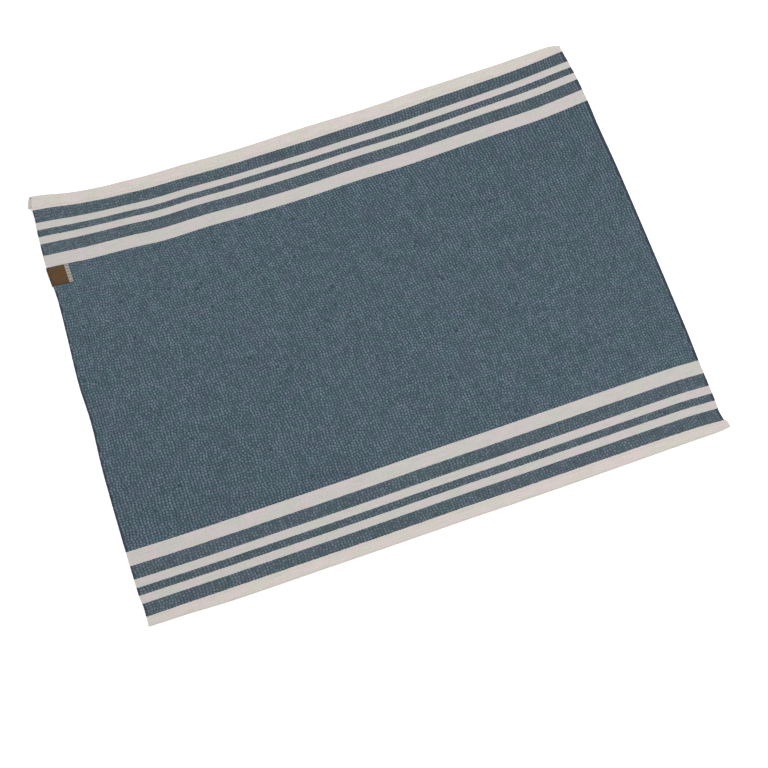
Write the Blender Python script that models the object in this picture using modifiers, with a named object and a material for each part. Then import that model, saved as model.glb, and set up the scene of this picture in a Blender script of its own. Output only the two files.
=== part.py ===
"""A striped cotton placemat lying flat, with a small woven label folded over its left edge.

Frame: metres, +X along the long side, +Y along the short side, +Z up. The origin is the middle of
the mat's box, on the surface that it lies on. The mat is one cloth: its long edges are turned under
twice as hems, and its short edges are selvedges.
"""

from collections import namedtuple
from math import cos, pi, sin

import bpy
from mathutils import Vector

MM = 0.001

# Driving sizes of the mat, in millimetres. The hem's top layer starts to turn down at the bend
MAT_LENGTH = 480.0
MAT_WIDTH = 358.0
CLOTH = 1.0
LAYER_GAP = 0.3
HEM_DEPTH = 10.2
HEM_RAMP = 9.0
HEM_BEND = 2.2

# Driving sizes of the label, in millimetres
LABEL_REACH = 18.3
LABEL_WIDTH = 15.9
LABEL_DROP = 0.7
LABEL_CLOTH = 0.5
LABEL_STITCHED_END = 3.5
SEAT_GAP = 0.3

# The cloth's rise over the label's lower leg, in millimetres: level past the label, then a slope
RISE_MARGIN = 4.5
RISE_SLOPE = 11.0

# Stripes from either long edge inwards, in millimetres
Stripe = namedtuple("Stripe", "width colour")
STRIPES = (
    Stripe(width=10.2, colour="cream"),
    Stripe(width=10.0, colour="blue"),
    Stripe(width=6.4, colour="cream"),
    Stripe(width=6.0, colour="blue"),
    Stripe(width=6.5, colour="cream"),
    Stripe(width=10.6, colour="blue"),
    Stripe(width=11.1, colour="cream"),
)

# How the cloth strays from a true rectangle, in millimetres: at a place along an edge, by an amount.
# The bow moves all of a long side, the stripe draw grows across its stripes, and the spread widens
# its hem
Stray = namedtuple("Stray", "at by")
TOP_BOW = (
    Stray(at=-240, by=7.2),
    Stray(at=-205, by=4.1),
    Stray(at=-168, by=2.0),
    Stray(at=-140, by=-0.4),
    Stray(at=-105, by=-0.3),
    Stray(at=-65, by=-1.6),
    Stray(at=-20, by=-1.9),
    Stray(at=25, by=-1.1),
    Stray(at=75, by=-1.2),
    Stray(at=105, by=-0.1),
    Stray(at=150, by=1.2),
    Stray(at=195, by=2.1),
    Stray(at=240, by=6.0),
)
TOP_STRIPE_DRAW = (
    Stray(at=-240, by=-0.3),
    Stray(at=-215, by=-0.5),
    Stray(at=-175, by=-3.2),
    Stray(at=-140, by=-2.8),
    Stray(at=-95, by=-3.7),
    Stray(at=-35, by=-2.7),
    Stray(at=15, by=-3.2),
    Stray(at=90, by=-2.1),
    Stray(at=150, by=-1.9),
    Stray(at=200, by=-0.9),
    Stray(at=240, by=-1.2),
)
TOP_HEM_SPREAD = (
    Stray(at=-240, by=3.0),
    Stray(at=-200, by=1.7),
    Stray(at=-150, by=2.1),
    Stray(at=-85, by=2.6),
    Stray(at=-45, by=2.3),
    Stray(at=0, by=3.3),
    Stray(at=40, by=2.4),
    Stray(at=90, by=2.7),
    Stray(at=150, by=1.9),
    Stray(at=205, by=1.0),
    Stray(at=230, by=-0.5),
    Stray(at=240, by=-3.2),
)
BOTTOM_BOW = (
    Stray(at=-240, by=1.4),
    Stray(at=-200, by=0.3),
    Stray(at=-150, by=-0.3),
    Stray(at=-60, by=-0.7),
    Stray(at=15, by=-0.5),
    Stray(at=60, by=-0.7),
    Stray(at=195, by=-0.6),
    Stray(at=218, by=-0.8),
    Stray(at=240, by=-1.8),
)
BOTTOM_STRIPE_DRAW = (
    Stray(at=-240, by=-1.0),
    Stray(at=-200, by=0.0),
    Stray(at=0, by=-0.1),
    Stray(at=100, by=-0.4),
    Stray(at=190, by=-0.8),
    Stray(at=240, by=-1.6),
)
BOTTOM_HEM_SPREAD = (
    Stray(at=-240, by=2.8),
    Stray(at=-210, by=2.2),
    Stray(at=-170, by=1.0),
    Stray(at=-100, by=1.0),
    Stray(at=100, by=0.4),
    Stray(at=190, by=0.9),
    Stray(at=225, by=1.8),
    Stray(at=240, by=3.5),
)
LEFT_EDGE = (
    Stray(at=-179, by=2.4),
    Stray(at=-168, by=2.7),
    Stray(at=-150, by=0.9),
    Stray(at=-55, by=0.2),
    Stray(at=-10, by=1.8),
    Stray(at=20, by=0.7),
    Stray(at=60, by=2.1),
    Stray(at=92, by=2.9),
    Stray(at=112, by=1.7),
    Stray(at=125, by=1.1),
    Stray(at=150, by=1.9),
    Stray(at=166, by=3.7),
    Stray(at=171, by=3.9),
    Stray(at=179, by=6.6),
)
RIGHT_EDGE = (
    Stray(at=-179, by=-1.2),
    Stray(at=-170, by=-1.9),
    Stray(at=-168, by=-3.8),
    Stray(at=-150, by=-2.3),
    Stray(at=-124, by=-1.9),
    Stray(at=-88, by=-0.8),
    Stray(at=50, by=0.0),
    Stray(at=95, by=-0.9),
    Stray(at=112, by=-0.7),
    Stray(at=140, by=-1.4),
    Stray(at=152, by=-2.4),
    Stray(at=160, by=-3.0),
    Stray(at=168, by=-5.0),
    Stray(at=179, by=-5.6),
)
SIDE_REACH = 34.0
BOW_REACH = 150.0

# The hem's two lower layers at the upper left, in millimetres: they slip out past the top one, and
# their inner fold is drawn towards the outer one
UNDER_LAYER_SLIP = 3.0
UNDER_LAYER_DRAW = 3.8
SLIP_REACH = 26.0

# Corners that lift a little off the surface, in millimetres
Lift = namedtuple("Lift", "x y height reach")
CORNER_LIFTS = (
    Lift(x=-240, y=179, height=2.6, reach=44),
    Lift(x=240, y=-179, height=2.0, reach=36),
)

# How finely the cloth is divided
COLUMNS = 42
CROWDING = 0.80
FOLD_STEPS = 5
RAMP_STEPS = 5
FIELD_ROWS = (6, 12, 19, 30, 60, 90)
LABEL_ROWS = 4

BLUE = (0.083, 0.120, 0.145, 1.0)
CREAM = (0.60, 0.56, 0.53, 1.0)
BROWN = (0.130, 0.075, 0.028, 1.0)

PITCH = CLOTH + LAYER_GAP
HALF_WIDTH = MAT_WIDTH / 2
HALF_LENGTH = MAT_LENGTH / 2
FIELD_Z = CLOTH / 2
HEM_TOP_Z = FIELD_Z + 2 * PITCH
STRIPE_GROUP = sum(stripe.width for stripe in STRIPES)
LABEL_TOP = HALF_WIDTH - STRIPE_GROUP - LABEL_DROP
LABEL_BOTTOM = LABEL_TOP - LABEL_WIDTH
LABEL_LIFT = LABEL_CLOTH + SEAT_GAP
FOLD_LINE = HALF_WIDTH - HEM_DEPTH
INNER_FOLD_Y = FOLD_LINE + CLOTH / 2 + PITCH / 2
OUTER_FOLD_Y = HALF_WIDTH - CLOTH / 2 - PITCH


def smooth(t):
    """Returns an ease from 0 to 1 as t runs from 0 to 1, and 0 or 1 outside that."""
    t = max(0.0, min(1.0, t))
    return t * t * (3 - 2 * t)


def along(table, place):
    """Returns a table's stray at a place, on a smooth curve through its rows."""
    if place <= table[0].at:
        return table[0].by
    for i in range(len(table) - 1):
        near, far = table[i], table[i + 1]
        if place <= far.at:
            before, after = table[max(i - 1, 0)], table[min(i + 2, len(table) - 1)]
            span = far.at - near.at
            t = (place - near.at) / span
            start = (far.by - before.by) / (far.at - before.at) * span
            end = (after.by - near.by) / (after.at - near.at) * span
            return (
                (2 * t**3 - 3 * t**2 + 1) * near.by
                + (t**3 - 2 * t**2 + t) * start
                + (3 * t**2 - 2 * t**3) * far.by
                + (t**3 - t**2) * end
            )
    return table[-1].by


def stray(x, y):
    """Returns how far the cloth at a place of the true rectangle strays, as (dx, dy)."""
    edge = max(-HALF_LENGTH, min(HALF_LENGTH, x))
    if y > 0:
        bow = along(TOP_BOW, edge)
        draw = along(TOP_STRIPE_DRAW, edge)
        spread = along(TOP_HEM_SPREAD, edge)
    else:
        bow = along(BOTTOM_BOW, edge)
        draw = along(BOTTOM_STRIPE_DRAW, edge)
        spread = along(BOTTOM_HEM_SPREAD, edge)
    inner = HALF_WIDTH - STRIPE_GROUP
    hold = smooth(1 - (inner - abs(y)) / BOW_REACH)
    into_stripes = max(0.0, min(1.0, (abs(y) - inner) / (FOLD_LINE - inner)))
    into_hem = max(0.0, min(1.0, (abs(y) - INNER_FOLD_Y) / (OUTER_FOLD_Y - INNER_FOLD_Y)))
    dy = bow * hold + draw * into_stripes**2 + spread * into_hem
    from_left = smooth(1 - (edge + HALF_LENGTH) / SIDE_REACH)
    from_right = smooth(1 - (HALF_LENGTH - edge) / SIDE_REACH)
    dx = along(LEFT_EDGE, y) * from_left + along(RIGHT_EDGE, y) * from_right
    return dx, dy


def plateau(value, low, high):
    """Returns 1 between low and high, easing to 0 over the rise's slope outside them."""
    return smooth(1 - (low - value) / RISE_SLOPE) * smooth(1 - (value - high) / RISE_SLOPE)


def lift(x, y):
    """Returns how far the cloth stands off the surface at a place of the true rectangle."""
    height = 0.0
    for corner in CORNER_LIFTS:
        away = ((x - corner.x) ** 2 + (y - corner.y) ** 2) ** 0.5
        height += corner.height * smooth(1 - away / corner.reach)
    along_label = plateau(x, -HALF_LENGTH, LABEL_REACH + RISE_MARGIN - HALF_LENGTH)
    across_label = plateau(y, LABEL_BOTTOM - RISE_MARGIN, LABEL_TOP + RISE_MARGIN)
    return height + LABEL_LIFT * along_label * across_label


def placed(x, y, z, under=0.0):
    """Returns a point of the cloth as it lies, in metres.

    under is 1 in the hem's lower layers, whose ends slip out past the top one at the upper left and
    are narrower there.
    """
    dx, dy = stray(x, y)
    if y > 0:
        slipped = under * smooth(1 - (x + HALF_LENGTH) / SLIP_REACH)
        dx -= UNDER_LAYER_SLIP * slipped
        inwards = max(0.0, min(1.0, (OUTER_FOLD_Y - y) / (OUTER_FOLD_Y - INNER_FOLD_Y)))
        dy += UNDER_LAYER_DRAW * inwards * slipped
    return Vector((x + dx, y + dy, z + lift(x, y))) * MM


def fold(centre, radius, from_angle, to_angle):
    """Returns the points of a round fold in the section, as (y, z)."""
    return [
        (
            centre[0] + radius * cos(from_angle + (to_angle - from_angle) * i / FOLD_STEPS),
            centre[1] + radius * sin(from_angle + (to_angle - from_angle) * i / FOLD_STEPS),
        )
        for i in range(FOLD_STEPS + 1)
    ]


def half_section():
    """Returns the cloth's section from the raw edge inside the hem to the middle, as (y, z)."""
    outer = (OUTER_FOLD_Y, FIELD_Z + PITCH)
    inner = (INNER_FOLD_Y, FIELD_Z + PITCH / 2)
    points = [(OUTER_FOLD_Y + LAYER_GAP, FIELD_Z + PITCH)]
    points += fold(inner, PITCH / 2, pi / 2, 3 * pi / 2)
    points += fold(outer, PITCH, -pi / 2, pi / 2)
    points.append((FOLD_LINE + HEM_BEND, HEM_TOP_Z))
    for i in range(RAMP_STEPS + 1):
        t = 1 - i / RAMP_STEPS
        points.append((FOLD_LINE - HEM_RAMP * (1 - t), FIELD_Z + 2 * PITCH * smooth(t)))
    edge = FOLD_LINE
    for stripe in STRIPES[1:]:
        edge -= stripe.width
        points.append((edge, FIELD_Z))
    points += [(edge - inwards, FIELD_Z) for inwards in FIELD_ROWS]
    points.append((0.0, FIELD_Z))
    return points


def whole_section():
    """Returns the cloth's section from one raw edge to the other, as (y, z)."""
    half = half_section()
    return [(-y, z) for y, z in half] + [(y, z) for y, z in reversed(half[:-1])]


def column_x(t):
    """Returns the x of a column, for t from -1 to 1, with the columns crowded towards the ends."""
    return HALF_LENGTH * sin(t * CROWDING * pi / 2) / sin(CROWDING * pi / 2)


def is_cream(y):
    """Returns whether the stripes are cream at a distance y from the mat's middle line."""
    depth = HALF_WIDTH - abs(y)
    for stripe in STRIPES:
        depth -= stripe.width
        if depth < 0:
            return stripe.colour == "cream"
    return False


def material(name, colour, roughness):
    """Returns a cloth material of one colour."""
    made = bpy.data.materials.new(name)
    made.use_nodes = True
    shader = made.node_tree.nodes["Principled BSDF"]
    shader.inputs["Base Color"].default_value = colour
    shader.inputs["Roughness"].default_value = roughness
    shader.inputs["Metallic"].default_value = 0.0
    made.diffuse_color = colour
    return made


def cloth_sheet(name, columns, rows, place, thickness, collection, materials):
    """Returns a sheet: a grid whose points are placed by column and row, with a thickness."""
    bpy.ops.mesh.primitive_grid_add(x_subdivisions=columns, y_subdivisions=rows, size=1.0)
    sheet = bpy.context.object
    sheet.name = name
    sheet.data.name = name
    for vertex in sheet.data.vertices:
        column = round((vertex.co.x + 0.5) * columns)
        row = round((vertex.co.y + 0.5) * rows)
        vertex.co = place(column, row)
    sheet.data.shade_smooth()
    for finish in materials:
        sheet.data.materials.append(finish)
    wall = sheet.modifiers.new("cloth thickness", "SOLIDIFY")
    wall.thickness = thickness * MM
    wall.offset = 0.0
    wall.use_even_offset = True
    for home in list(sheet.users_collection):
        home.objects.unlink(sheet)
    collection.objects.link(sheet)
    return sheet


def make_mat(collection):
    """Makes the mat's cloth with both of its hems, and returns it."""
    section = whole_section()

    def place(column, row):
        y, z = section[row]
        in_hem = abs(y) >= FOLD_LINE
        under = smooth((HEM_TOP_Z - z) / PITCH) if in_hem else 0.0
        return placed(column_x(2 * column / COLUMNS - 1), y, z, under)

    rows = len(section) - 1
    finishes = (material("blue cotton", BLUE, 0.9), material("cream cotton", CREAM, 0.85))
    mat = cloth_sheet("mat", COLUMNS, rows, place, CLOTH, collection, finishes)
    for face in mat.data.polygons:
        row = face.index // COLUMNS
        middle = (section[row][0] + section[row + 1][0]) / 2
        face.material_index = 1 if is_cream(middle) else 0
    return mat


def label_section():
    """Returns the label's section from its upper sewn end to its lower one, as (x, z)."""
    low = LABEL_CLOTH / 2
    high = LABEL_LIFT + CLOTH + SEAT_GAP + LABEL_CLOTH / 2
    radius = (high - low) / 2
    inside = radius - LABEL_CLOTH / 2
    edge_room = (inside**2 - (CLOTH / 2) ** 2) ** 0.5 - SEAT_GAP
    turn_x = -HALF_LENGTH + edge_room
    end_x = -HALF_LENGTH + LABEL_REACH
    runs = [end_x, end_x - LABEL_STITCHED_END, end_x - LABEL_REACH / 2]
    turn = fold((turn_x, (low + high) / 2), radius, pi / 2, 3 * pi / 2)
    return [(x, high) for x in runs] + turn + [(x, low) for x in reversed(runs)]


def make_label(collection):
    """Makes the woven label, folded over the mat's left edge, and returns it."""
    section = label_section()

    def place(column, row):
        x, z = section[column]
        y = LABEL_BOTTOM + LABEL_WIDTH * row / LABEL_ROWS
        dx, dy = stray(x, y)
        return Vector((x + dx, y + dy, z)) * MM

    finishes = (material("brown label", BROWN, 0.8),)
    columns = len(section) - 1
    return cloth_sheet("label", columns, LABEL_ROWS, place, LABEL_CLOTH, collection, finishes)


def centre(sheets):
    """Moves the points of the sheets so that the middle of their box lies over the origin."""
    graph = bpy.context.evaluated_depsgraph_get()
    corners = [Vector(corner) for sheet in sheets for corner in sheet.evaluated_get(graph).bound_box]
    for axis in (0, 1):
        places = [corner[axis] for corner in corners]
        middle = (min(places) + max(places)) / 2
        for sheet in sheets:
            for vertex in sheet.data.vertices:
                vertex.co[axis] -= middle


def main():
    """Clears the scene and makes the placemat in a collection of its own."""
    for thing in list(bpy.data.objects):
        bpy.data.objects.remove(thing, do_unlink=True)
    collection = bpy.data.collections.new("placemat")
    bpy.context.scene.collection.children.link(collection)
    mat = make_mat(collection)
    label = make_label(collection)
    centre((mat, label))


main()
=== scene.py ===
"""A striped cotton placemat with a small woven label, dressed for its portrait.

Frame: metres, +X along the long side, +Y along the short side, +Z up. The origin is the middle of
the mat's box, on the surface that it lies on. Sizes are in millimetres and are laid out on the true
rectangle of the cloth. `Lie` then bends that rectangle into the way in which the cloth really lies.
"""

from __future__ import annotations

import logging
from collections.abc import Callable, Iterable, Sequence
from dataclasses import dataclass
from enum import Enum
from math import pi, radians

import bpy
import numpy as np
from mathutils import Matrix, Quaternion, Vector

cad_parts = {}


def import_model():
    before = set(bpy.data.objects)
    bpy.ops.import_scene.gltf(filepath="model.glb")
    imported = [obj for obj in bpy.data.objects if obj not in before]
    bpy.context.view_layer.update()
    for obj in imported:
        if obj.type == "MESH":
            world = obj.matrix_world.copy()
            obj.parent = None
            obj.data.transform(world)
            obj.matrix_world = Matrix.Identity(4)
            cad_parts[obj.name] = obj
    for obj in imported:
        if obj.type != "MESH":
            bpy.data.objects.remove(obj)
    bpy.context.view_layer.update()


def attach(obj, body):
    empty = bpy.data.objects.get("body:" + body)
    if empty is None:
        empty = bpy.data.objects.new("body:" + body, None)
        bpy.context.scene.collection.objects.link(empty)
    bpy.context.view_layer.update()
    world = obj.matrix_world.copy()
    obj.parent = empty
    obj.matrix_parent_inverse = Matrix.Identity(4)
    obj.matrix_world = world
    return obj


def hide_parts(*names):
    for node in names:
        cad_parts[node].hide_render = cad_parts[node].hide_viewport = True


LOG = logging.getLogger("placemat")
MM = 0.001
BODY = "root"
WEAVE_MAP = "weave"

Array = np.ndarray
Colour = tuple[float, float, float, float]

WHITE: Colour = (1.0, 1.0, 1.0, 1.0)
GREENER: Colour = (0.86, 1.04, 0.90, 1.0)
REDDER: Colour = (1.14, 0.97, 1.14, 1.0)


class Tone(Enum):
    """The two tones that the stripes are woven in."""

    CREAM = "cream"
    BLUE = "blue"


class Slot(Enum):
    """The names of the material slots."""

    CLOTH = "cloth"
    LABEL = "label"


@dataclass(frozen=True)
class Stripe:
    """A stripe along a long edge: its width and its tone."""

    width: float
    tone: Tone


@dataclass(frozen=True)
class Stray:
    """How far an edge strays from its straight line, at a place along it."""

    at: float
    by: float


@dataclass(frozen=True)
class Wander:
    """A place where the stripes wander off their lines, while the cloth's edges stay."""

    x: float
    y: float
    by: float
    reach_x: float
    reach_y: float


@dataclass(frozen=True)
class Lift:
    """A corner that stands off the surface."""

    x: float
    y: float
    height: float
    reach: float


@dataclass(frozen=True)
class Fleck:
    """The place of a thick bit of yarn in the field."""

    x: float
    y: float


STRIPES = (
    Stripe(width=10.2, tone=Tone.CREAM),
    Stripe(width=10.0, tone=Tone.BLUE),
    Stripe(width=6.4, tone=Tone.CREAM),
    Stripe(width=6.0, tone=Tone.BLUE),
    Stripe(width=6.5, tone=Tone.CREAM),
    Stripe(width=10.6, tone=Tone.BLUE),
    Stripe(width=11.1, tone=Tone.CREAM),
)
TOP_BOW = (
    Stray(at=-240, by=7.2),
    Stray(at=-205, by=4.1),
    Stray(at=-168, by=2.0),
    Stray(at=-140, by=-0.4),
    Stray(at=-105, by=-0.3),
    Stray(at=-65, by=-1.6),
    Stray(at=-20, by=-1.9),
    Stray(at=25, by=-1.1),
    Stray(at=75, by=-1.2),
    Stray(at=105, by=-0.1),
    Stray(at=150, by=1.2),
    Stray(at=195, by=2.1),
    Stray(at=240, by=6.0),
)
TOP_STRIPE_DRAW = (
    Stray(at=-240, by=-0.3),
    Stray(at=-215, by=-0.5),
    Stray(at=-175, by=-3.2),
    Stray(at=-140, by=-2.8),
    Stray(at=-95, by=-3.7),
    Stray(at=-35, by=-2.7),
    Stray(at=15, by=-3.2),
    Stray(at=90, by=-2.1),
    Stray(at=150, by=-1.9),
    Stray(at=200, by=-0.9),
    Stray(at=240, by=-1.2),
)
TOP_HEM_SPREAD = (
    Stray(at=-240, by=3.0),
    Stray(at=-200, by=1.7),
    Stray(at=-150, by=2.1),
    Stray(at=-85, by=2.6),
    Stray(at=-45, by=2.3),
    Stray(at=0, by=3.3),
    Stray(at=40, by=2.4),
    Stray(at=90, by=2.7),
    Stray(at=150, by=1.9),
    Stray(at=205, by=1.0),
    Stray(at=230, by=-0.5),
    Stray(at=240, by=-3.2),
)
BOTTOM_BOW = (
    Stray(at=-240, by=1.4),
    Stray(at=-200, by=0.3),
    Stray(at=-150, by=-0.3),
    Stray(at=-60, by=-0.7),
    Stray(at=15, by=-0.5),
    Stray(at=60, by=-0.7),
    Stray(at=195, by=-0.6),
    Stray(at=218, by=-0.8),
    Stray(at=240, by=-1.8),
)
BOTTOM_STRIPE_DRAW = (
    Stray(at=-240, by=-1.0),
    Stray(at=-200, by=0.0),
    Stray(at=0, by=-0.1),
    Stray(at=100, by=-0.4),
    Stray(at=190, by=-0.8),
    Stray(at=240, by=-1.6),
)
BOTTOM_HEM_SPREAD = (
    Stray(at=-240, by=2.8),
    Stray(at=-210, by=2.2),
    Stray(at=-170, by=1.0),
    Stray(at=-100, by=1.0),
    Stray(at=100, by=0.4),
    Stray(at=190, by=0.9),
    Stray(at=225, by=1.8),
    Stray(at=240, by=3.5),
)
LEFT_EDGE = (
    Stray(at=-179, by=2.4),
    Stray(at=-168, by=2.7),
    Stray(at=-150, by=0.9),
    Stray(at=-55, by=0.2),
    Stray(at=-10, by=1.8),
    Stray(at=20, by=0.7),
    Stray(at=60, by=2.1),
    Stray(at=92, by=2.9),
    Stray(at=112, by=1.7),
    Stray(at=125, by=1.1),
    Stray(at=150, by=1.9),
    Stray(at=166, by=3.7),
    Stray(at=171, by=3.9),
    Stray(at=179, by=6.6),
)
RIGHT_EDGE = (
    Stray(at=-179, by=-1.2),
    Stray(at=-170, by=-1.9),
    Stray(at=-168, by=-3.8),
    Stray(at=-150, by=-2.3),
    Stray(at=-124, by=-1.9),
    Stray(at=-88, by=-0.8),
    Stray(at=50, by=0.0),
    Stray(at=95, by=-0.9),
    Stray(at=112, by=-0.7),
    Stray(at=140, by=-1.4),
    Stray(at=152, by=-2.4),
    Stray(at=160, by=-3.0),
    Stray(at=168, by=-5.0),
    Stray(at=179, by=-5.6),
)
STRIPE_WANDERS = (
    Wander(x=212, y=155, by=1.2, reach_x=70, reach_y=20),
    Wander(x=-42, y=152, by=0.8, reach_x=60, reach_y=7),
    Wander(x=105, y=146, by=-0.7, reach_x=60, reach_y=7),
)
CORNER_LIFTS = (
    Lift(x=-240, y=179, height=2.6, reach=44),
    Lift(x=240, y=-179, height=2.0, reach=36),
)
DARK_FLECKS = (
    Fleck(x=-24, y=-30),
    Fleck(x=-33, y=-36),
    Fleck(x=186, y=20),
    Fleck(x=-80, y=95),
    Fleck(x=-62, y=82),
    Fleck(x=38, y=80),
    Fleck(x=126, y=70),
    Fleck(x=226, y=90),
)
PALE_FLECKS = (
    Fleck(x=122, y=-10),
    Fleck(x=218, y=-75),
    Fleck(x=-178, y=18),
    Fleck(x=217, y=-107),
    Fleck(x=-44, y=-82),
    Fleck(x=156, y=38),
    Fleck(x=-188, y=83),
)


def srgb(red: int, green: int, blue: int) -> Colour:
    """Turns a colour as a screen shows it into Blender's linear one.

    Args:
        red: The red share, from 0 to 255.
        green: The green share, from 0 to 255.
        blue: The blue share, from 0 to 255.

    Returns:
        The linear colour, with an alpha of 1.
    """
    shares = [level / 255 for level in (red, green, blue)]
    linear = [s / 12.92 if s <= 0.04045 else ((s + 0.055) / 1.055) ** 2.4 for s in shares]
    return (linear[0], linear[1], linear[2], 1.0)


def ease(t: Array | float) -> Array:
    """Eases from 0 to 1 as t runs from 0 to 1.

    Args:
        t: Where to read the ease. Outside 0 to 1 it stays at 0 or 1.

    Returns:
        The eased values.
    """
    t = np.clip(t, 0.0, 1.0)
    return t * t * (3 - 2 * t)


def along(table: Sequence[Stray], place: Array | float) -> Array:
    """Reads a table of strays on a smooth curve through its rows.

    Args:
        table: The rows, in order along the edge.
        place: Where along the edge to read.

    Returns:
        The stray at each place.
    """
    at = np.array([row.at for row in table], float)
    by = np.array([row.by for row in table], float)
    slope = np.empty_like(by)
    slope[1:-1] = (by[2:] - by[:-2]) / (at[2:] - at[:-2])
    slope[0] = (by[1] - by[0]) / (at[1] - at[0])
    slope[-1] = (by[-1] - by[-2]) / (at[-1] - at[-2])
    place = np.clip(place, at[0], at[-1])
    i = np.clip(np.searchsorted(at, place, side="right") - 1, 0, len(at) - 2)
    span = at[i + 1] - at[i]
    t = (place - at[i]) / span
    return (
        (2 * t**3 - 3 * t**2 + 1) * by[i]
        + (t**3 - 2 * t**2 + t) * slope[i] * span
        + (3 * t**2 - 2 * t**3) * by[i + 1]
        + (t**3 - t**2) * slope[i + 1] * span
    )


@dataclass(frozen=True)
class ClothSizes:
    """The driving sizes of the mat's cloth and of its weave."""

    length: float = 480.0
    width: float = 358.0
    cloth: float = 1.0
    layer_gap: float = 0.3
    hem_depth: float = 10.2
    hem_ramp: float = 9.0
    warp_pitch: float = 2.42
    weft_pitch: float = 2.31
    weft_yarn: float = 1.155
    stitch_inset: float = 8.0

    @property
    def half_length(self) -> float:
        """Half of the long side."""
        return self.length / 2

    @property
    def half_width(self) -> float:
        """Half of the short side."""
        return self.width / 2

    @property
    def layer_pitch(self) -> float:
        """From one layer of a hem to the next."""
        return self.cloth + self.layer_gap

    @property
    def field_z(self) -> float:
        """The height of the field's middle plane."""
        return self.cloth / 2

    @property
    def hem_top_z(self) -> float:
        """The height of the middle plane of a hem's top layer."""
        return self.field_z + 2 * self.layer_pitch

    @property
    def fold_line(self) -> float:
        """From the mat's middle line to where a hem begins."""
        return self.half_width - self.hem_depth

    @property
    def inner_fold_y(self) -> float:
        """From the middle line to the centre of the fold inside a hem."""
        return self.fold_line + self.cloth / 2 + self.layer_pitch / 2

    @property
    def outer_fold_y(self) -> float:
        """From the middle line to the centre of a hem's outer fold."""
        return self.half_width - self.cloth / 2 - self.layer_pitch

    @property
    def field_edge(self) -> float:
        """From the middle line to where the stripes begin."""
        return self.half_width - sum(stripe.width for stripe in STRIPES)

    @property
    def stitch_line(self) -> float:
        """From the middle line to a hem's row of stitches."""
        return self.half_width - self.stitch_inset

    def blue_bands(self) -> list[tuple[float, float]]:
        """Works out where the cloth is blue.

        Returns:
            The bands as (from, to) in y: the field, then the far edge's blue stripes, from the
            hem inwards. The near edge mirrors them.
        """
        bands = [(-self.field_edge, self.field_edge)]
        edge = self.half_width
        for stripe in STRIPES:
            if stripe.tone is Tone.BLUE:
                bands.append((edge - stripe.width, edge))
            edge -= stripe.width
        return bands


@dataclass(frozen=True)
class LabelSizes:
    """The driving sizes of the label."""

    reach: float = 18.3
    width: float = 15.9
    drop: float = 0.7
    cloth: float = 0.5
    stitched_end: float = 3.5
    seat_gap: float = 0.3
    rise_margin: float = 4.5
    rise_slope: float = 11.0

    @property
    def lift(self) -> float:
        """How far the label's lower leg raises the mat."""
        return self.cloth + self.seat_gap


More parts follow.
